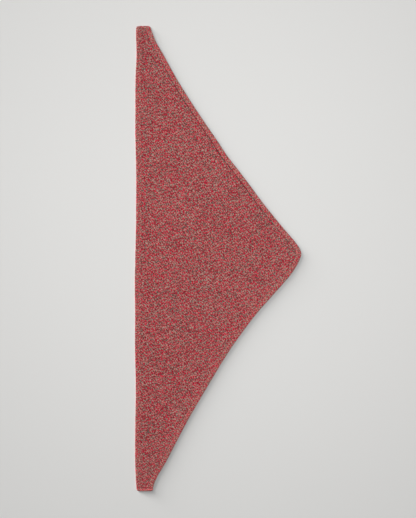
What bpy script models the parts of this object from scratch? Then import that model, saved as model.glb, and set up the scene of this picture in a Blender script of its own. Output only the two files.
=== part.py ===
"""A triangle shawl, knitted sideways from one blunt end to the other and laid out flat.

Its long edge lies at -X, its rounded tip at +X and its upper end at +Y. The cloth rests on z = 0,
and the origin is under the middle of its box.
"""

from collections import namedtuple
from math import cos, pi, radians, sin

import bmesh
import bpy
import numpy as np

MM = 0.001

# Cloth: the walls are those of a thick plain knit, and a seam is a line of flatter stitches
LENGTH = 2.0
BODY_WALL = 4.0 * MM
BAND_WALL = 4.6 * MM
SEAM_WALL = 2.2 * MM
BAND_WIDTH = 22.0 * MM
END_WIDTH = 13.0 * MM
SEAM_GAP = 0.3 * MM
RIM_RADIUS = 2.0 * MM

# Spacing of the sections that the pieces are lofted through, closer within TIP_ZONE of the tip
TIP = 0.980
TIP_ZONE = 0.080
TIP_STEP = 0.012
LONG_STEP = 0.040

# How far from a blunt end the bands' sections turn from level to square with the edge
FAN = 0.120
SLOPE_REACH = 5.0 * MM

# Sections across the shawl in millimetres. "along" is the distance from the upper end, "pull" is how
# far the long edge is drawn in from a straight line, and "reach" is how far the shaped edge lies from
# that line.
Section = namedtuple("Section", "along pull reach")
SECTIONS = (
    Section(along=0, pull=6.6, reach=65.6),
    Section(along=40, pull=5.5, reach=79.8),
    Section(along=75, pull=6.5, reach=95.1),
    Section(along=110, pull=7.5, reach=115.6),
    Section(along=220, pull=3.5, reach=176.2),
    Section(along=360, pull=2.5, reach=263.9),
    Section(along=490, pull=2.8, reach=352.3),
    Section(along=555, pull=4.4, reach=395.4),
    Section(along=640, pull=6.0, reach=461.1),
    Section(along=780, pull=5.7, reach=565.9),
    Section(along=880, pull=4.9, reach=648.1),
    Section(along=930, pull=3.5, reach=690.6),
    Section(along=965, pull=3.0, reach=713.0),
    Section(along=980, pull=2.5, reach=716.3),
    Section(along=1000, pull=2.0, reach=711.6),
    Section(along=1035, pull=1.5, reach=694.1),
    Section(along=1070, pull=0.5, reach=670.6),
    Section(along=1110, pull=0.0, reach=636.6),
    Section(along=1240, pull=1.5, reach=521.9),
    Section(along=1380, pull=1.0, reach=418.8),
    Section(along=1560, pull=4.5, reach=307.6),
    Section(along=1720, pull=2.3, reach=215.5),
    Section(along=1870, pull=1.8, reach=137.3),
    Section(along=1960, pull=5.5, reach=87.6),
    Section(along=2000, pull=8.5, reach=75.1),
)

# The top of a band from its rim to its seam: the share of its width, and of its rise over the seam
Crown = namedtuple("Crown", "across rise")
CROWN = (
    Crown(across=0.22, rise=0.90),
    Crown(across=0.50, rise=1.00),
    Crown(across=0.78, rise=0.90),
    Crown(across=0.93, rise=0.50),
    Crown(across=1.00, rise=0.00),
)
RIM_STEPS = 4

# The body's shoulder from a seam: the distance in, and the share of its rise over the seam
Shoulder = namedtuple("Shoulder", "inward rise")
SHOULDER = (
    Shoulder(inward=0.0, rise=0.0),
    Shoulder(inward=1.5 * MM, rise=0.5),
    Shoulder(inward=5.0 * MM, rise=1.0),
)
BODY_SHARES = (0.35, 0.65)

# Corners of the blunt ends: their radii at the long edge and at the shaped edge
Corner = namedtuple("Corner", "long_radius shaped_radius")
UPPER_CORNERS = Corner(long_radius=12.0 * MM, shaped_radius=12.0 * MM)
LOWER_CORNERS = Corner(long_radius=12.0 * MM, shaped_radius=5.0 * MM)
CORNER_STEPS = 4
END_STEPS = 6

# The red and taupe marl as it averages at arm's length
BODY_COLOUR = (0.32, 0.091, 0.089, 1.0)
BAND_COLOUR = (0.35, 0.107, 0.102, 1.0)
YARN_ROUGHNESS = 0.9
SHARP_ANGLE = radians(50)


def column(name, along):
    """A column of SECTIONS at any distances along, on a smooth curve through its rows.

    Each stretch between rows is a cubic, and its slope at a row is taken from the rows beside it.
    """
    at = np.array([row.along for row in SECTIONS]) * MM
    value = np.array([getattr(row, name) for row in SECTIONS]) * MM
    slope = np.gradient(value, at)
    start = np.clip(np.searchsorted(at, along) - 1, 0, len(at) - 2)
    span = at[start + 1] - at[start]
    t = (along - at[start]) / span
    rise = t * t * (3 - 2 * t)
    leaving = t * (1 - t) ** 2 * span * slope[start]
    arriving = t * t * (t - 1) * span * slope[start + 1]
    return value[start] * (1 - rise) + value[start + 1] * rise + leaving + arriving


def section_places():
    """Distances along at which the pieces have a section, from one end row to the other."""
    stretches = (
        (END_WIDTH, TIP - TIP_ZONE, LONG_STEP),
        (TIP - TIP_ZONE, TIP, TIP_STEP),
        (TIP, TIP + TIP_ZONE, TIP_STEP),
        (TIP + TIP_ZONE, LENGTH - END_WIDTH, LONG_STEP),
    )
    places = [END_WIDTH]
    for low, high, step in stretches:
        count = round((high - low) / step)
        places.extend(low + (high - low) * k / count for k in range(1, count + 1))
    return np.array(places)


def shaped_edge(places):
    """Points on the shaped edge, and the way in from each.

    The way in is square to the edge, and turns level towards the blunt ends, where the bands are cut
    straight across. It is scaled so that one step along it goes one step in from the edge.
    """
    after, before = (column("reach", places + d) for d in (SLOPE_REACH, -SLOPE_REACH))
    slope = (after - before) / (2 * SLOPE_REACH)
    square = np.stack([-np.ones_like(slope), -slope], axis=1) / np.hypot(1, slope)[:, None]
    from_end = np.minimum(places - END_WIDTH, LENGTH - END_WIDTH - places)
    turned = np.clip(1 - from_end / FAN, 0, 1)[:, None]
    way = square * (1 - turned) + np.array([-1.0, 0.0]) * turned
    way /= (way * square).sum(axis=1, keepdims=True)
    return np.stack([column("reach", places), -places], axis=1), way


def band_ring(width):
    """A band's cross-section as (inward, up) pairs, round from the foot of its seam.

    The underside is flat, the rim is a half circle, and the top is crowned and dips to the seam.
    """
    angles = [pi * k / RIM_STEPS for k in range(RIM_STEPS + 1)]
    rim = [(RIM_RADIUS * (1 - sin(a)), RIM_RADIUS * (1 - cos(a))) for a in angles]
    top = [(width * c.across, SEAM_WALL + (BAND_WALL - SEAM_WALL) * c.rise) for c in CROWN]
    return np.array([(width, 0.0)] + rim + top)


def body_ring(span):
    """The body's cross-section as (across, up) pairs: a flat underside, and a shoulder at each seam."""
    shoulder = [(s.inward, SEAM_WALL + (BODY_WALL - SEAM_WALL) * s.rise) for s in SHOULDER]
    middle = [(span * share, BODY_WALL) for share in BODY_SHARES]
    far_shoulder = [(span - inward, up) for inward, up in reversed(shoulder)]
    return np.array([(span, 0.0), (0.0, 0.0)] + shoulder + middle + far_shoulder)


def yarn_material(name, colour):
    material = bpy.data.materials.new(name + "_yarn")
    material.use_nodes = True
    material.diffuse_color = colour
    shader = material.node_tree.nodes["Principled BSDF"]
    shader.inputs["Base Color"].default_value = colour
    shader.inputs["Roughness"].default_value = YARN_ROUGHNESS
    shader.inputs["Metallic"].default_value = 0.0
    return material


def loft(name, rings, colour):
    """A closed solid through rings of as many points each, with a flat face over the first and last."""
    shape = bmesh.new()
    loops = [[shape.verts.new(point) for point in ring] for ring in rings]
    for near, far in zip(loops, loops[1:]):
        for k, corner in enumerate(near):
            shape.faces.new((corner, near[k - 1], far[k - 1], far[k]))
    shape.faces.new(loops[0])
    shape.faces.new(loops[-1])
    bmesh.ops.recalc_face_normals(shape, faces=shape.faces)
    mesh = bpy.data.meshes.new(name)
    shape.to_mesh(mesh)
    shape.free()
    mesh.shade_smooth()
    mesh.set_sharp_from_angle(angle=SHARP_ANGLE)
    mesh.materials.append(yarn_material(name, colour))
    solid = bpy.data.objects.new(name, mesh)
    SHAWL.objects.link(solid)
    return solid


def body_and_long_band(places):
    """The body and the long band, by level sections that reach to the shaped bands' seam."""
    points, way = shaped_edge(places)
    seam = points + way * (BAND_WIDTH + SEAM_GAP)
    pull = column("pull", -seam[:, 1])
    band_shape = band_ring(BAND_WIDTH)
    body, band = [], []
    for (far, level), rim in zip(seam, pull):
        near = rim + BAND_WIDTH + SEAM_GAP
        body.append([(near + across, level, up) for across, up in body_ring(far - near)])
        band.append([(rim + across, level, up) for across, up in band_shape])
    return [loft("shawl_body", body, BODY_COLOUR), loft("long_edge_band", band, BAND_COLOUR)]


def shaped_band(name, places, tip_ring, from_tip):
    """The band along one shaped side. Its ring at the tip stands half a gap clear of the other band's."""
    points, way = shaped_edge(places)
    shape = band_ring(BAND_WIDTH)
    rings = [
        np.column_stack([point + shape[:, :1] * inward, shape[:, 1]])
        for point, inward in zip(points, way)
    ]
    rings[tip_ring][:, 1] += from_tip * SEAM_GAP / 2
    return loft(name, rings, BAND_COLOUR)


def rounded_corner(side, inward, radius):
    """(x, how far the corner falls short of the end) pairs, from the side of the shawl to its end."""
    angles = [pi / 2 * k / CORNER_STEPS for k in range(CORNER_STEPS + 1)]
    return [(side + inward * radius * (1 - cos(a)), radius * (1 - sin(a))) for a in angles]


def end_edge(name, end, inward, corners):
    """The closing row of a blunt end, by sections across it that are shorter at its rounded corners."""
    seam = end + inward * END_WIDTH
    near = rounded_corner(float(column("pull", seam)), 1, corners.long_radius)
    far = rounded_corner(float(column("reach", seam)), -1, corners.shaped_radius)
    low, high = near[-1][0], far[-1][0]
    middle = [(low + (high - low) * k / END_STEPS, 0.0) for k in range(1, END_STEPS)]
    width = END_WIDTH - SEAM_GAP
    shape = band_ring(width)
    rings = []
    for x, short in near + middle + far[::-1]:
        along = end + inward * (short + shape[:, 0] * (1 - short / width))
        rings.append(np.column_stack([np.full_like(along, x), -along, shape[:, 1]]))
    return loft(name, rings, BAND_COLOUR)


def centre_on_origin(solids):
    """Moves the meshes so that the origin lies under the middle of the shawl's box."""
    corners = np.array([vertex.co for solid in solids for vertex in solid.data.vertices])
    middle = (corners.min(axis=0) + corners.max(axis=0)) / 2
    for solid in solids:
        for vertex in solid.data.vertices:
            vertex.co.x -= middle[0]
            vertex.co.y -= middle[1]


for old in list(bpy.data.objects):
    bpy.data.objects.remove(old)
SHAWL = bpy.data.collections.new("triangle_shawl")
bpy.context.scene.collection.children.link(SHAWL)

PLACES = section_places()
TIP_SECTION = int(np.argmin(np.abs(PLACES - TIP)))
SOLIDS = body_and_long_band(PLACES)
SOLIDS += [
    shaped_band("upper_edge_band", PLACES[:TIP_SECTION + 1], tip_ring=-1, from_tip=1),
    shaped_band("lower_edge_band", PLACES[TIP_SECTION:], tip_ring=0, from_tip=-1),
    end_edge("upper_end_edge", 0.0, 1, UPPER_CORNERS),
    end_edge("lower_end_edge", LENGTH, -1, LOWER_CORNERS),
]
centre_on_origin(SOLIDS)
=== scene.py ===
"""The looks of the triangle shawl: plain knit stitches in a red and taupe marl, laid out flat.

Every stitch of the body, the edge bands and the end rows stands in relief over a thin ground cloth.
Sizes are in metres. "across" is measured from the straight line of the long edge towards the tip,
and "along" from the upper end towards the lower end, as on the plan of the shawl.
"""

from collections import namedtuple
from math import cos, pi, radians, sin

import bpy
import numpy as np
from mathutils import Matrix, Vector


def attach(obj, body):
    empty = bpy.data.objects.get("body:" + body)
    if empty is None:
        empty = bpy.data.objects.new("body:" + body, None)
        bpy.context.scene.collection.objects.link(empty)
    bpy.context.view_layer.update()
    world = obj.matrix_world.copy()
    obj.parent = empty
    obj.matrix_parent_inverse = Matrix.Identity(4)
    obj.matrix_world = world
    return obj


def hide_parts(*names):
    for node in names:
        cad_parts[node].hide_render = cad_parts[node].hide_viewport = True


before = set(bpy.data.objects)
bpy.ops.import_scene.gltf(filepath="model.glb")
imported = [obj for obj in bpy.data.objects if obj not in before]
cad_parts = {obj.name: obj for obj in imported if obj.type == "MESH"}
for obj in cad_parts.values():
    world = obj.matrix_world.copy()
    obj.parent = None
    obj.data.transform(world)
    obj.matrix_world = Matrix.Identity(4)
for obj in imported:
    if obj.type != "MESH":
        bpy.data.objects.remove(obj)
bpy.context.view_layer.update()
MM = 0.001

# The plan: the whole shawl, its edge bands and its end rows. Near each end the shaped band's
# stitches turn level over the fan's length. A slope is measured over its reach to each side.
LENGTH = 2.0
TIP_REACH = 0.7163
BAND_WIDTH = 22.0 * MM
END_WIDTH = 13.0 * MM
FAN = 0.120
SLOPE_REACH = 5.0 * MM

# Sections in millimetres: "pull" is how far the long edge is drawn in from a straight line, and
# "reach" is how far the shaped edge lies from that line.
Section = namedtuple("Section", "along pull reach")
SECTIONS = (
    Section(along=0, pull=6.6, reach=65.6),
    Section(along=40, pull=5.5, reach=79.8),
    Section(along=75, pull=6.5, reach=95.1),
    Section(along=110, pull=7.5, reach=115.6),
    Section(along=220, pull=3.5, reach=176.2),
    Section(along=360, pull=2.5, reach=263.9),
    Section(along=490, pull=2.8, reach=352.3),
    Section(along=555, pull=4.4, reach=395.4),
    Section(along=640, pull=6.0, reach=461.1),
    Section(along=780, pull=5.7, reach=565.9),
    Section(along=880, pull=4.9, reach=648.1),
    Section(along=930, pull=3.5, reach=690.6),
    Section(along=965, pull=3.0, reach=713.0),
    Section(along=980, pull=2.5, reach=716.3),
    Section(along=1000, pull=2.0, reach=711.6),
    Section(along=1035, pull=1.5, reach=694.1),
    Section(along=1070, pull=0.5, reach=670.6),
    Section(along=1110, pull=0.0, reach=636.6),
    Section(along=1240, pull=1.5, reach=521.9),
    Section(along=1380, pull=1.0, reach=418.8),
    Section(along=1560, pull=4.5, reach=307.6),
    Section(along=1720, pull=2.3, reach=215.5),
    Section(along=1870, pull=1.8, reach=137.3),
    Section(along=1960, pull=5.5, reach=87.6),
    Section(along=2000, pull=8.5, reach=75.1),
)
# Corners of the ends are quarter ellipses, sized along the end at each edge and in from the end
Corner = namedtuple("Corner", "long_size shaped_size depth")
UPPER_CORNERS = Corner(long_size=20.0 * MM, shaped_size=15.0 * MM, depth=12.0 * MM)
LOWER_CORNERS = Corner(long_size=18.0 * MM, shaped_size=6.0 * MM, depth=9.0 * MM)

# The stitches. Each has 8 grid cells across its wale and 4 along its course, so the strands'
# creases fall on grid lines.
WALE_CELLS = 8
COURSE_CELLS = 4
BODY_WALE = 8.8 * MM
BODY_COURSE = 7.0 * MM
BAND_WALES = 3
BAND_COURSE = 6.4 * MM
END_WALES = 2
END_COURSE = 5.0 * MM

# Heights over the floor of the creases, crowns and underside, and how far strands turn under
Relief = namedtuple("Relief", "crease crown under tuck")
BODY_RELIEF = Relief(crease=2.3 * MM, crown=4.2 * MM, under=0.5 * MM, tuck=0.40)
BAND_RELIEF = Relief(crease=2.9 * MM, crown=4.7 * MM, under=0.1 * MM, tuck=0.20)
# The shaped band's wales lie looser down to the tip than from there on, so their deeper grooves there
# take more painted shade: (along, tuck) pairs
SHAPED_TUCK = ((0.85, 0.45), (1.02, 0.10))
# A strand's bow is a half circle flattened by this power, and it dips at the middle of its wale
BOW_POWER = 0.6
MIDDLE_DIP = 0.15
# By chance a strand is lower than the tallest by up to this share
BODY_UNEVEN = 0.22
BAND_UNEVEN = 0.2
CELL_SLACK = 1e-6
# Gentle unevenness from sine waves: how high the body lies, and how far its stitches stray in plan
Ripple = namedtuple("Ripple", "size shortest longest")
LIE = Ripple(size=0.05 * MM, shortest=0.08, longest=0.30)
STRAY = Ripple(size=0.9 * MM, shortest=0.03, longest=0.12)
WAVES = 9

SEAM_HEIGHT = 1.4 * MM
SEAM_STEP = 4.0 * MM
# The groove at the shaped seam is wide where stitches were added, down to the tip, and narrow where
# they were dropped: (along, its width in the body) pairs, and its width in the band over that
GROOVE = (
    (0.03, 1.2 * MM), (0.22, 2.8 * MM), (0.60, 2.8 * MM), (0.75, 2.4 * MM), (1.02, 1.6 * MM),
)
BAND_GROOVE = 1.25
SHOULDER = 2.0 * MM
# The long band rises to a low ridge over this share of its width, and the ridge falls away in the
# body: (distance from the band, rise) pairs
RIDGE = 0.2 * MM
RIDGE_SHARE = 0.3
RIDGE_FALL = ((0, 0.20 * MM), (30.0 * MM, 0))
# The lower shaped edge lies a little proud: (distance in from the edge, lift) pairs. The lift grows
# between two places along, and the lower end's rim stands proud too
LIFT = ((0, 0.5 * MM), (22.0 * MM, 0.45 * MM), (80.0 * MM, 0))
LIFT_START = (0.94, 1.10)
LOWER_END_PROUD = 1.2 * MM
# The rims: their radius, how far their loops stand out, the level of the outermost point as a share
# of the crown, the least height inside them, and how far the underside draws in
RIM_RADIUS = 2.2 * MM
RIM_BUMP = 0.7 * MM
RIM_LEVEL = 0.45
RIM_TOP = 3.2 * MM
RIM_UNDER = 1.2 * MM
# Painted shade darkens the creases and seams from this height down to the seam's, and borders turn
# sharp over this many degrees
LIT_HEIGHT = 3.7 * MM
SHARP_TURN = 70.0
# The ground cloth: its height, how far inside the edges it stays, and its grid
GROUND_TOP = 1.2 * MM
GROUND_INSET = 2.0 * MM
GROUND_STEP = 8.0 * MM
GROUND_COLUMNS = 5 * WALE_CELLS
EDGE_SAMPLES = 4000
BODY_PIECES = ("upper", "upper_middle", "lower_middle", "lower")

CHANCE = np.random.default_rng(7)


def column(name, along):
    """A column of SECTIONS at any distances along, on a smooth curve through its rows.

    Each stretch between rows is a cubic, and its slope at a row is taken from the rows beside it.
    """
    at = np.array([row.along for row in SECTIONS]) * MM
    value = np.array([getattr(row, name) for row in SECTIONS]) * MM
    slope = np.gradient(value, at)
    start = np.clip(np.searchsorted(at, along) - 1, 0, len(at) - 2)
    span = at[start + 1] - at[start]
    t = (along - at[start]) / span
    rise = t * t * (3 - 2 * t)
    leaving = t * (1 - t) ** 2 * span * slope[start]
    arriving = t * t * (t - 1) * span * slope[start + 1]
    return value[start] * (1 - rise) + value[start + 1] * rise + leaving + arriving


def shaped_edge(places):
    """Points (across, along) on the shaped edge, and the way in from each.

    The way in is square to the edge, and turns level towards the blunt ends. It is scaled so that
    one step along it goes one step in from the edge.
    """
    after, before = (column("reach", places + d) for d in (SLOPE_REACH, -SLOPE_REACH))
    slope = (after - before) / (2 * SLOPE_REACH)
    square = np.stack([-np.ones_like(slope), slope], axis=1) / np.hypot(1, slope)[:, None]
    from_end = np.minimum(places - END_WIDTH, LENGTH - END_WIDTH - places)
    turned = np.clip(1 - from_end / FAN, 0, 1)[:, None]
    way = square * (1 - turned) + np.array([-1.0, 0.0]) * turned
    way /= (way * square).sum(axis=1, keepdims=True)
    return np.stack([column("reach", places), places], axis=1), way


def smooth(t):
    """0 up to t = 0, 1 from t = 1, and an even rise between them."""
    t = np.clip(t, 0, 1)
    return t * t * (3 - 2 * t)


def ripple(across, along, kind):
    """Gentle unevenness about 0: sine waves of chance directions and lengths, added up.

    The sum is divided by the root of their number, so it stays near -1 to 1.
    """
    length = CHANCE.uniform(kind.shortest, kind.longest, WAVES)
    turn = CHANCE.uniform(0, pi, WAVES)
    shift = CHANCE.uniform(0, 2 * pi, WAVES)
    total = np.zeros_like(across)
    for wave, angle, start in zip(length, turn, shift):
        total += np.sin(2 * pi * (across * np.cos(angle) + along * np.sin(angle)) / wave + start)
    return total / WAVES ** 0.5


def strands(wale, course, tuck):
    """Plain knit by wales and courses: (the strand's own coordinates, its height from 0 to 1).

    Each stitch is two strands that lean out from the middle of its wale and rise by one course on
    the way to its side. A strand's first coordinate counts half wales, and its second counts courses
    less the rise. Its height is a round bow over the second, lower where it meets the other strand
    and, by tuck, at the wale's side, where it turns under the next.
    """
    side = np.abs(2 * (wale % 1) - 1)
    rank = course - side
    bow = (1 - (2 * (rank % 1) - 1) ** 2) ** BOW_POWER
    turn_under = 1 - tuck * side ** 4 - MIDDLE_DIP * (1 - side) ** 4
    return np.stack([2 * wale, rank], axis=-1), bow * turn_under


def uneven(yarn, spread):
    """A chance factor for each strand, from 1 less the spread to 1."""
    cell = np.floor(yarn + CELL_SLACK).astype(int)
    cell -= cell.reshape(-1, 2).min(axis=0)
    table = CHANCE.uniform(1 - spread, 1, cell.reshape(-1, 2).max(axis=0) + 1)
    return table[cell[..., 0], cell[..., 1]]


def triangles(number, rank=None):
    """Triangles over a grid of vertex numbers, facing up where rows run down and columns right.

    A cell is cut from corner to corner along the line on which rank changes least. Numbers may
    repeat along a row, and triangles that this closes up are dropped.
    """
    a, b, c, d = number[:-1, :-1], number[:-1, 1:], number[1:, 1:], number[1:, :-1]
    falling = np.ones(a.shape, bool)
    if rank is not None:
        falling = abs(rank[:-1, :-1] - rank[1:, 1:]) < abs(rank[:-1, 1:] - rank[1:, :-1])
    low = np.where(falling[..., None], np.stack([a, d, c], -1), np.stack([a, d, b], -1))
    high = np.where(falling[..., None], np.stack([a, c, b], -1), np.stack([d, c, b], -1))
    both = np.concatenate([low.reshape(-1, 3), high.reshape(-1, 3)])
    first, second, third = both.T
    return both[(first != second) & (second != third) & (first != third)]


def numbered(used, first=0):
    """Vertex numbers, from first on, for the True cells of a grid."""
    return np.cumsum(used.ravel()).reshape(used.shape) - 1 + first


def mesh_piece(name, points, faces, yarn, depth, material):
    """An object from arrays: points, triangles, a UV map of yarn pairs, and depth as an attribute.

    Depth is 0 on the crowns and 1 in the deepest creases and seams, and the material paints shade
    into the creases by it.
    """
    mesh = bpy.data.meshes.new(name)
    mesh.vertices.add(len(points))
    mesh.vertices.foreach_set("co", points.astype(np.float32).ravel())
    mesh.loops.add(faces.size)
    mesh.loops.foreach_set("vertex_index", faces.astype(np.int32).ravel())
    mesh.polygons.add(len(faces))
    mesh.polygons.foreach_set("loop_start", np.arange(0, faces.size, 3, dtype=np.int32))
    mesh.update(calc_edges=True)
    layer = mesh.uv_layers.new(name="yarn")
    layer.uv.foreach_set("vector", yarn[faces.ravel()].astype(np.float32).ravel())
    sunk = mesh.attributes.new("depth", "FLOAT", "POINT")
    sunk.data.foreach_set("value", depth.astype(np.float32))
    mesh.shade_smooth()
    mesh.set_sharp_from_angle(angle=radians(SHARP_TURN))
    mesh.validate()
    mesh.materials.append(material)
    piece = bpy.data.objects.new(name, mesh)
    bpy.context.scene.collection.objects.link(piece)
    return piece


def closed_patch(name, top, under, last, yarn, material):
    """A closed piece of cloth from two grids of points (across, along, up): its top and underside.

    Row r is used up to column last[r]. The underside keeps one column in WALE_CELLS, and all of them
    in its first and last rows. A wall joins the two round the border.
    """
    rows, columns = top.shape[:2]
    row = np.arange(rows)[:, None]
    held = np.minimum(np.arange(columns), last[:, None])
    top_used = np.arange(columns) <= last[:, None]
    top_number = numbered(top_used)[row, held]
    coarse = np.where(held == last[:, None], held, held // WALE_CELLS * WALE_CELLS)
    coarse[[0, -1]] = held[[0, -1]]
    under_used = np.zeros(top_used.shape, bool)
    under_used[row, coarse] = True
    under_number = numbered(under_used, top_used.sum())[row, coarse]
    side = np.full(rows, columns - 1)
    border = [
        (np.zeros(columns, int), np.arange(columns)),
        (np.arange(rows), side),
        (np.full(columns, rows - 1), np.arange(columns)[::-1]),
        (np.arange(rows)[::-1], np.zeros(rows, int)),
    ]
    around = tuple(np.concatenate(part) for part in zip(*border))
    wall = np.stack([under_number[around], top_number[around]])
    faces = [triangles(top_number, yarn[..., 1]), triangles(under_number)[:, ::-1], triangles(wall)]
    points = np.concatenate([top[top_used], under[under_used]])
    points = points * (1, -1, 1) + (-TIP_REACH / 2, LENGTH / 2, 0)
    pairs = np.concatenate([yarn[top_used], yarn[under_used]])
    # How far each top point lies under LIT_HEIGHT, smoothed: the amount of painted shade in creases
    # and seams
    sunk = (LIT_HEIGHT - top[..., 2][top_used]) / (LIT_HEIGHT - SEAM_HEIGHT)
    depth = np.concatenate([smooth(sunk), np.zeros(under_used.sum())])
    return mesh_piece(name, points, np.concatenate(faces), pairs, depth, material)


def seam_line():
    """The seam between the body and the shaped band, as (along, across) arrays in order along."""
    first, last = END_WIDTH, LENGTH - END_WIDTH
    places = np.arange(first, last + MM, SEAM_STEP).clip(first, last)
    points, way = shaped_edge(places)
    seam = points + way * BAND_WIDTH
    along = np.maximum.accumulate(seam[:, 1])
    return along, seam[:, 0]


def lift(from_edge, along):
    """How far the cloth stands proud by the lower shaped edge, growing from nothing past the tip."""
    grown = smooth((along - LIFT_START[0]) / (LIFT_START[1] - LIFT_START[0]))
    return np.interp(from_edge, *zip(*LIFT)) * grown


def body_knit(material):
    """The body's plain knit, in four pieces from the upper end to the lower.

    Wales run along the long edge, and rows of grid points lie a quarter of a course apart. A row
    ends on the shaped seam. The strands' height fades to the seam's over a shoulder at each border.
    """
    count = round((LENGTH - 2 * END_WIDTH) / BODY_COURSE) * COURSE_CELLS
    along = np.linspace(END_WIDTH, LENGTH - END_WIDTH, count + 1)
    seam = np.interp(along, *seam_line())
    start = column("pull", along) + BAND_WIDTH
    cell = BODY_WALE / WALE_CELLS
    last = np.round((seam - start) / cell).astype(int)
    columns = last.max() + 1
    grid_across = start[:, None] + np.arange(columns) * cell
    held = np.where(np.arange(columns) < last[:, None], grid_across, seam[:, None])
    wale = (held - start[:, None]) / BODY_WALE
    course = np.broadcast_to(-np.arange(count + 1)[:, None] / COURSE_CELLS, wale.shape)
    relief = BODY_RELIEF
    yarn, height = strands(wale, course, relief.tuck)
    height = height * uneven(yarn, BODY_UNEVEN)
    slope = np.gradient(seam, along)
    from_seam = (seam[:, None] - held) / np.hypot(1, slope)[:, None]
    from_band = held - start[:, None]
    from_end = np.minimum(along - END_WIDTH, LENGTH - END_WIDTH - along)[:, None]
    groove = np.interp(along, *zip(*GROOVE))[:, None]
    shoulder = smooth(np.minimum(from_seam / groove, from_end / SHOULDER))
    ridge = np.interp(from_band, *zip(*RIDGE_FALL))
    far_along = np.broadcast_to(along[:, None], held.shape)
    lie = LIE.size * ripple(held, far_along, LIE) + lift(from_seam + BAND_WIDTH, along[:, None])
    up = relief.crease + (relief.crown - relief.crease) * height + lie + ridge
    up = SEAM_HEIGHT + (up - SEAM_HEIGHT) * shoulder
    stray = shoulder * STRAY.size
    across = held + stray * ripple(held, far_along, STRAY)
    down = far_along + stray * ripple(held, far_along, STRAY)
    top = np.stack([across, down, up], axis=-1)
    under = np.stack([held, far_along, np.full_like(held, relief.under)], axis=-1)
    share = np.cumsum(last) / last.sum()
    cuts = [np.searchsorted(share, k / len(BODY_PIECES)) for k in range(1, len(BODY_PIECES))]
    cuts = [0] + [int(round(k / COURSE_CELLS)) * COURSE_CELLS for k in cuts] + [count]
    pieces = []
    for part, low, high in zip(BODY_PIECES, cuts, cuts[1:]):
        rows = slice(low, high + 1)
        wide = last[rows].max() + 1
        pieces.append(closed_patch(
            "body_knit_" + part, top[rows, :wide], under[rows, :wide], last[rows],
            yarn[rows, :wide], material,
        ))
    return pieces


def band_section(wales, width, rows_course, shoulder=None, tuck=BAND_RELIEF.tuck):
    """A band over its grid: how far in and up its top is, how far in its underside is, yarn pairs.

    Columns run inward from the rim. Over the rim's radius the top bends down as a quarter circle to
    the outermost point, which stands out and draws in once a course as the loops do. The inner side
    falls to the seam's height over a shoulder, or without one it rises to a low ridge.
    """
    relief = BAND_RELIEF
    columns = wales * WALE_CELLS + 1
    wale = np.broadcast_to(np.arange(columns) / WALE_CELLS, (len(rows_course), columns))
    course = np.broadcast_to(rows_course[:, None], wale.shape)
    yarn, height = strands(wale, course, tuck)
    height = height * uneven(yarn, BAND_UNEVEN)
    inward = wale * width / wales
    up = relief.crease + (relief.crown - relief.crease) * height
    if shoulder is None:
        up = up + RIDGE * smooth((inward - (1 - RIDGE_SHARE) * width) / (RIDGE_SHARE * width))
    else:
        up = SEAM_HEIGHT + (up - SEAM_HEIGHT) * smooth((width - inward) / shoulder)
    rim = np.clip(1 - inward / RIM_RADIUS, 0, 1)
    bow = np.sqrt(1 - rim ** 2)
    loop_out = RIM_BUMP * np.cos(2 * pi * course) * np.clip(1 - inward / (2 * RIM_RADIUS), 0, 1)
    rim_up = relief.crown * RIM_LEVEL
    up = np.where(rim > 0, rim_up + (np.maximum(up, RIM_TOP) - rim_up) * bow, up)
    under_inward = inward + RIM_UNDER * rim
    return inward - loop_out, up, under_inward, yarn


def long_band_knit(material):
    """The long edge's band: three wales that follow the edge, closed along its rim."""
    count = round((LENGTH - 2 * END_WIDTH) / BAND_COURSE) * COURSE_CELLS
    along = np.linspace(END_WIDTH, LENGTH - END_WIDTH, count + 1)
    inward, up, under_inward, yarn = band_section(
        BAND_WALES, BAND_WIDTH, -np.arange(count + 1) / COURSE_CELLS
    )
    pull = column("pull", along)[:, None]
    down = np.broadcast_to(along[:, None], inward.shape)
    top = np.stack([pull + inward, down, up], axis=-1)
    under = np.stack([pull + under_inward, down, np.full_like(up, BAND_RELIEF.under)], axis=-1)
    last = np.full(count + 1, inward.shape[1] - 1)
    return closed_patch("long_edge_band_knit", top, under, last, yarn, material)


def shaped_band_knit(material):
    """The shaped edge's band, round the tip without a break: three wales that follow the edge.

    Its courses are spaced evenly by the edge's own length, which is summed up over fine steps.
    """
    fine = np.linspace(END_WIDTH, LENGTH - END_WIDTH, EDGE_SAMPLES)
    step = np.hypot(np.diff(column("reach", fine)), np.diff(fine))
    run = np.concatenate([[0], np.cumsum(step)])
    count = round(run[-1] / BAND_COURSE) * COURSE_CELLS
    places = np.interp(np.linspace(0, run[-1], count + 1), run, fine)
    points, way = shaped_edge(places)
    groove = np.interp(places, *zip(*GROOVE))[:, None]
    inward, up, under_inward, yarn = band_section(
        BAND_WALES, BAND_WIDTH, -np.arange(count + 1) / COURSE_CELLS, BAND_GROOVE * groove,
        np.interp(places, *zip(*SHAPED_TUCK))[:, None],
    )
    # Half of the lift at the outermost point, and all of it from half the rim's radius in
    up = up + lift(inward, places[:, None]) * smooth(inward / RIM_RADIUS + 0.5)
    plan = points[:, None] + way[:, None] * inward[..., None]
    under_plan = points[:, None] + way[:, None] * under_inward[..., None]
    top = np.concatenate([plan, up[..., None]], axis=-1)[:, ::-1]
    floor_gap = np.full_like(up, BAND_RELIEF.under)[..., None]
    under = np.concatenate([under_plan, floor_gap], axis=-1)[:, ::-1]
    last = np.full(count + 1, inward.shape[1] - 1)
    return closed_patch("shaped_edge_band_knit", top, under, last, yarn[:, ::-1], material)


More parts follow.
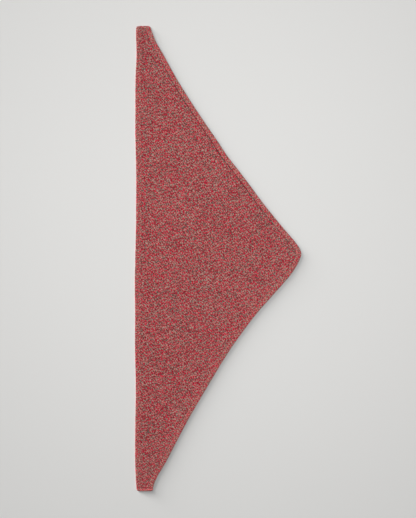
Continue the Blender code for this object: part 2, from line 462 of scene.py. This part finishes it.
def end_knit(name, end, inward_sign, corners, proud, material):
    """The closing row of a blunt end: chain stitches side by side, whose wales run along the end.

    Its corners are quarter ellipses: there the row is shorter by the depth less the ellipse's rise.
    Its rim stands proud, and that fades evenly to nothing at the row's inner side.
    """
    seam = end + inward_sign * END_WIDTH
    near, far = float(column("pull", seam)), float(column("reach", seam))
    count = round((far - near) / END_COURSE) * COURSE_CELLS
    across = np.linspace(near, far, count + 1)
    into_near = np.clip(1 - (across - near) / corners.long_size, 0, 1)
    into_far = np.clip(1 - (far - across) / corners.shaped_size, 0, 1)
    short = corners.depth * (2 - np.sqrt(1 - into_near ** 2) - np.sqrt(1 - into_far ** 2))
    inward, up, under_inward, yarn = band_section(
        END_WALES, END_WIDTH, np.arange(count + 1) / COURSE_CELLS, SHOULDER
    )
    edge = smooth(np.minimum(across - near, far - across) / RIM_RADIUS)[:, None]
    up = SEAM_HEIGHT + (up + proud * smooth(1 - inward / END_WIDTH) - SEAM_HEIGHT) * edge
    squeeze = (1 - short / END_WIDTH)[:, None]
    flat = np.broadcast_to(across[:, None], inward.shape)
    top_along = end + inward_sign * (short[:, None] + inward * squeeze)
    under_along = end + inward_sign * (short[:, None] + under_inward * squeeze)
    top = np.stack([flat, top_along, up], axis=-1).swapaxes(0, 1)
    under = np.stack([flat, under_along, np.full_like(up, BAND_RELIEF.under)], -1).swapaxes(0, 1)
    yarn = yarn.swapaxes(0, 1)
    if inward_sign < 0:
        top, under, yarn = top[::-1], under[::-1], yarn[::-1]
    last = np.full(top.shape[0], count)
    return closed_patch(name, top, under, last, yarn, material)


def ground_cloth(material):
    """The ground of the knit: one thin closed sheet of the shawl's plan, just inside its edges.

    Rows run across from the long edge to the shaped edge. Its yarn pairs are half wales and courses.
    """
    places = np.linspace(GROUND_INSET, LENGTH - GROUND_INSET, round(LENGTH / GROUND_STEP) + 1)
    low = column("pull", places) + GROUND_INSET
    slope = np.gradient(column("reach", places), places)
    high = column("reach", places) - GROUND_INSET * np.hypot(1, slope)
    share = np.linspace(0, 1, GROUND_COLUMNS + 1)
    across = low[:, None] + (high - low)[:, None] * share
    down = np.broadcast_to(places[:, None], across.shape)
    yarn = np.stack([across / BODY_WALE * 2, -down / BODY_COURSE], axis=-1)
    top = np.stack([across, down, np.full_like(across, GROUND_TOP)], axis=-1)
    under = np.stack([across, down, np.zeros_like(across)], axis=-1)
    last = np.full(len(places), len(share) - 1)
    return closed_patch("ground_cloth", top, under, last, yarn, material)


def node(tree, kind, inputs=(), **settings):
    """A shader node with its settings. Inputs are (socket name or number, value or output) pairs."""
    made = tree.nodes.new(kind)
    for name, value in settings.items():
        setattr(made, name, value)
    for socket, value in inputs:
        if isinstance(value, bpy.types.NodeSocket):
            tree.links.new(value, made.inputs[socket])
        else:
            made.inputs[socket].default_value = value
    return made


def maths(tree, operation, *values):
    """The output of a Math node on two or three values."""
    return node(tree, "ShaderNodeMath", enumerate(values), operation=operation).outputs[0]


def noise(tree, place, scale, detail=1.0):
    """The output of a noise from 0 to 1, with so many features a metre."""
    inputs = [("Vector", place), ("Scale", scale), ("Detail", detail)]
    return node(tree, "ShaderNodeTexNoise", inputs).outputs[0]


def blend_colours(tree, factor, first, second):
    """The output of a colour blend, from the first at 0 to the second at 1."""
    inputs = [(0, factor), (6, first), (7, second)]
    return node(tree, "ShaderNodeMix", inputs, data_type="RGBA").outputs[2]


# The marl's colours, and the red ply's share of the yarn
Shade = namedtuple("Shade", "deep_red bright_red dark_taupe light_taupe red_share")
BODY_SHADE = Shade(
    deep_red=(0.231, 0.0030, 0.0150, 1), bright_red=(0.803, 0.0110, 0.054, 1),
    dark_taupe=(0.107, 0.078, 0.064, 1), light_taupe=(0.487, 0.378, 0.309, 1), red_share=0.56,
)
BAND_SHADE = Shade(
    deep_red=(0.286, 0.0062, 0.020, 1), bright_red=(0.803, 0.016, 0.060, 1),
    dark_taupe=(0.130, 0.098, 0.078, 1), light_taupe=(0.497, 0.393, 0.310, 1), red_share=0.55,
)
# Turns of the two plies by half wale, by row and across a strand. Chance shifts them from strand to
# strand, and a broad noise lets them drift
TURN_ALONG = 0.38
TURN_ROW = 0.50
TURN_ACROSS = 0.22
TURN_LOT = 0.2
DRIFT = 2.0
DRIFT_SCALE = 60.0
# How far the plies' balance differs by strand, how far fibres fray their border, and its softness
BALANCE = 0.4
FRAY = 1.0
PLY_EDGE = 0.2
# Clouds a few millimetres wide set how deep both colours are, over this range about the middle
CLOUD_SCALE = 200.0
CLOUD_RANGE = 0.14
# Fibres: their noise, and the flecks of tone that it gives
FIBRE_SCALE = 900.0
FIBRE_DETAIL = 3.0
FLECK_NOISE = (0.3, 0.7)
FLECK_TONE = (0.82, 1.16)
# Fibre lines in each strand: how many across it and by half wale, and what they do to the tone
LINES_ACROSS = 5.0
LINES_ALONG = 1.5
LINE_TONE = 0.07
# Painted shade: the share by which the colour darkens in the deepest creases and seams
CREASE_PAINTED_SHADE = 0.80
# The bump: how much plies and fibre lines add to the fibres, and its depth
PLY_HEIGHT = 0.20
LINE_HEIGHT = 0.25
BUMP_DEPTH = 0.5 * MM
BUMP_STRENGTH = 0.8
YARN_FINISH = {
    "Roughness": 0.9, "Specular IOR Level": 0.2, "Sheen Weight": 0.15, "Sheen Roughness": 0.5,
}


def marl_yarn(name, shade):
    """Two-ply marl yarn: a red ply and a taupe ply that turn round each other along each strand.

    The turn adds up shares of the half wale, the row and the place across the strand, with a shift
    by chance for each strand and a slow drift. Its sine, moved by the strand's own balance and frayed
    by the fibres, parts red from taupe. Small clouds set how deep both are, and flecks, fibre lines
    and painted shade from the depth of the creases scale the colour.
    """
    material = bpy.data.materials.new(name)
    material.use_nodes = True
    tree = material.node_tree
    shader = tree.nodes["Principled BSDF"]
    uv = node(tree, "ShaderNodeUVMap", uv_map="yarn").outputs[0]
    place = node(tree, "ShaderNodeTexCoord").outputs["Object"]
    cell = node(tree, "ShaderNodeVectorMath", [(0, uv)], operation="FLOOR").outputs[0]
    draw = node(tree, "ShaderNodeTexWhiteNoise", [("Vector", cell)], noise_dimensions="3D")
    lot = node(tree, "ShaderNodeSeparateColor", [(0, draw.outputs["Color"])]).outputs
    half_wale, rank = node(tree, "ShaderNodeSeparateXYZ", [(0, uv)]).outputs[:2]
    row = node(tree, "ShaderNodeSeparateXYZ", [(0, cell)]).outputs[1]
    over_strand = maths(tree, "SUBTRACT", rank, row)
    fibre = noise(tree, place, FIBRE_SCALE, FIBRE_DETAIL)

    turn = maths(tree, "MULTIPLY", half_wale, TURN_ALONG)
    for share, by in (
        (row, TURN_ROW), (over_strand, TURN_ACROSS), (lot[0], TURN_LOT),
        (noise(tree, place, DRIFT_SCALE), DRIFT),
    ):
        turn = maths(tree, "MULTIPLY_ADD", share, by, turn)
    wave = maths(tree, "SINE", maths(tree, "MULTIPLY", turn, 2 * pi))
    middle = shade.red_share * 2 - 1 - (BALANCE + FRAY) / 2
    balance = maths(tree, "MULTIPLY_ADD", lot[1], BALANCE, middle)
    frayed = maths(tree, "MULTIPLY_ADD", fibre, FRAY, balance)
    ply = node(tree, "ShaderNodeMapRange", [
        ("Value", maths(tree, "ADD", wave, frayed)), ("From Min", -PLY_EDGE), ("From Max", PLY_EDGE),
    ], interpolation_type="SMOOTHSTEP").outputs[0]

    line = maths(tree, "MULTIPLY", half_wale, LINES_ALONG)
    line = maths(tree, "MULTIPLY_ADD", over_strand, LINES_ACROSS, line)
    line = maths(tree, "MULTIPLY", maths(tree, "ADD", line, fibre), 2 * pi)
    line = maths(tree, "SINE", line)

    tone = node(tree, "ShaderNodeMapRange", [
        ("Value", noise(tree, place, CLOUD_SCALE)),
        ("From Min", 0.5 - CLOUD_RANGE), ("From Max", 0.5 + CLOUD_RANGE),
    ]).outputs[0]
    red = blend_colours(tree, tone, shade.deep_red, shade.bright_red)
    taupe = blend_colours(tree, tone, shade.dark_taupe, shade.light_taupe)
    colour = blend_colours(tree, ply, taupe, red)
    fleck = node(tree, "ShaderNodeMapRange", [
        ("Value", fibre), ("From Min", FLECK_NOISE[0]), ("From Max", FLECK_NOISE[1]),
        ("To Min", FLECK_TONE[0]), ("To Max", FLECK_TONE[1]),
    ]).outputs[0]
    # Painted shade: the colour is scaled down in the creases and seams by their depth
    depth = node(tree, "ShaderNodeAttribute", attribute_name="depth").outputs["Fac"]
    fleck = maths(tree, "MULTIPLY_ADD", line, LINE_TONE, fleck)
    crease = maths(tree, "MULTIPLY_ADD", depth, -CREASE_PAINTED_SHADE, 1.0)
    scale = [(0, colour), ("Scale", maths(tree, "MULTIPLY", fleck, crease))]
    colour = node(tree, "ShaderNodeVectorMath", scale, operation="SCALE").outputs[0]
    tree.links.new(colour, shader.inputs["Base Color"])

    height = maths(tree, "MULTIPLY_ADD", wave, PLY_HEIGHT, fibre)
    height = maths(tree, "MULTIPLY_ADD", line, LINE_HEIGHT, height)
    bump = node(tree, "ShaderNodeBump", [
        ("Height", height), ("Distance", BUMP_DEPTH), ("Strength", BUMP_STRENGTH),
    ])
    tree.links.new(bump.outputs[0], shader.inputs["Normal"])
    for socket, value in YARN_FINISH.items():
        shader.inputs[socket].default_value = value
    return material


BOARD_COLOURS = ((0.685, 0.680, 0.666, 1), (0.700, 0.695, 0.681, 1))
BOARD_CLOUDS = 0.8
BOARD_FINISH = {"Roughness": 0.9, "Specular IOR Level": 0.1}


def floor_material():
    """A pale matt board with a faint, broad unevenness."""
    material = bpy.data.materials.new("pale_board")
    material.use_nodes = True
    tree = material.node_tree
    shader = tree.nodes["Principled BSDF"]
    place = node(tree, "ShaderNodeTexCoord").outputs["Object"]
    colour = blend_colours(tree, noise(tree, place, BOARD_CLOUDS), *BOARD_COLOURS)
    tree.links.new(colour, shader.inputs["Base Color"])
    for socket, value in BOARD_FINISH.items():
        shader.inputs[socket].default_value = value
    return material


# The floor reaches past every view, and lies just under the cloth
FLOOR_HALF = 80.0
FLOOR_LEVEL = -0.2 * MM


def make_floor():
    """A plain square that faces up."""
    corners = np.array([(-1, -1, 0), (1, -1, 0), (1, 1, 0), (-1, 1, 0)]) * FLOOR_HALF
    mesh = bpy.data.meshes.new("floor")
    mesh.from_pydata(corners + (0, 0, FLOOR_LEVEL), [], [(0, 1, 2, 3)])
    mesh.materials.append(floor_material())
    floor = bpy.data.objects.new("floor", mesh)
    bpy.context.scene.collection.objects.link(floor)


# What the camera takes in on the floor: its long side and its middle. Lens and film in millimetres
FRAME_HEIGHT = 2.2284
FRAME_MIDDLE = (-0.0428, -0.0024)
LENS = 100.0
SENSOR = 36.0
CLIP_END = 200.0
SKY_COLOUR = (0.98, 0.99, 1.0, 1)


def make_camera():
    """The photo's view, straight down from the height that makes the frame's long side fit."""
    data = bpy.data.cameras.new("camera")
    data.lens = LENS
    data.sensor_width = SENSOR
    camera = bpy.data.objects.new("camera", data)
    camera.location = (*FRAME_MIDDLE, FRAME_HEIGHT * LENS / SENSOR)
    data.clip_end = CLIP_END
    bpy.context.scene.collection.objects.link(camera)
    bpy.context.scene.camera = camera


def make_light(name, place, target, size, watts):
    """A soft round light of so many metres across, turned to its target."""
    data = bpy.data.lights.new(name, "AREA")
    data.shape = "DISK"
    data.size = size
    data.energy = watts
    lamp = bpy.data.objects.new(name, data)
    lamp.location = place
    lamp.rotation_euler = (Vector(target) - Vector(place)).to_track_quat("-Z", "Y").to_euler()
    bpy.context.scene.collection.objects.link(lamp)


def make_sun(name, turn, elevation, spread, strength):
    """A broad side light, turn degrees round from +X and elevation degrees over the floor."""
    data = bpy.data.lights.new(name, "SUN")
    data.angle = radians(spread)
    data.energy = strength
    lamp = bpy.data.objects.new(name, data)
    turn, elevation = radians(turn), radians(elevation)
    source = Vector((cos(turn) * cos(elevation), sin(turn) * cos(elevation), sin(elevation)))
    lamp.rotation_euler = source.to_track_quat("Z", "Y").to_euler()
    bpy.context.scene.collection.objects.link(lamp)


def make_world(strength):
    """An even, nearly white light from all round."""
    world = bpy.data.worlds.new("studio")
    world.use_nodes = True
    shader = world.node_tree.nodes["Background"]
    shader.inputs["Color"].default_value = SKY_COLOUR
    shader.inputs["Strength"].default_value = strength
    bpy.context.scene.world = world


make_camera()
make_floor()
make_world(strength=0.10)
make_light("top_light", place=(-0.04, 0.40, 3.0), target=(-0.04, 0.40, 0), size=2.0, watts=54)
make_sun("side_light", turn=135.0, elevation=10.0, spread=24.0, strength=6.1)
make_sun("low_light", turn=146.0, elevation=3.5, spread=8.0, strength=5.4)
bpy.context.scene.view_settings.view_transform = "Standard"

BODY_YARN = marl_yarn("marl_yarn", BODY_SHADE)
BAND_YARN = marl_yarn("edge_marl_yarn", BAND_SHADE)

BODY = body_knit(BODY_YARN)
LONG_BAND = long_band_knit(BAND_YARN)
SHAPED_BAND = shaped_band_knit(BAND_YARN)
UPPER_END = end_knit("upper_end_chain", 0.0, 1, UPPER_CORNERS, 0.0, BAND_YARN)
LOWER_END = end_knit("lower_end_chain", LENGTH, -1, LOWER_CORNERS, LOWER_END_PROUD, BAND_YARN)
GROUND = ground_cloth(BODY_YARN)

KNIT = BODY + [LONG_BAND, SHAPED_BAND, UPPER_END, LOWER_END]
for piece in BODY:
    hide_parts("shawl_body")
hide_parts("long_edge_band")
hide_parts("upper_edge_band", "lower_edge_band")
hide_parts("upper_end_edge")
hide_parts("lower_end_edge")
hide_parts("shawl_body")
for piece in KNIT + [GROUND]:
    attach(piece, "root")
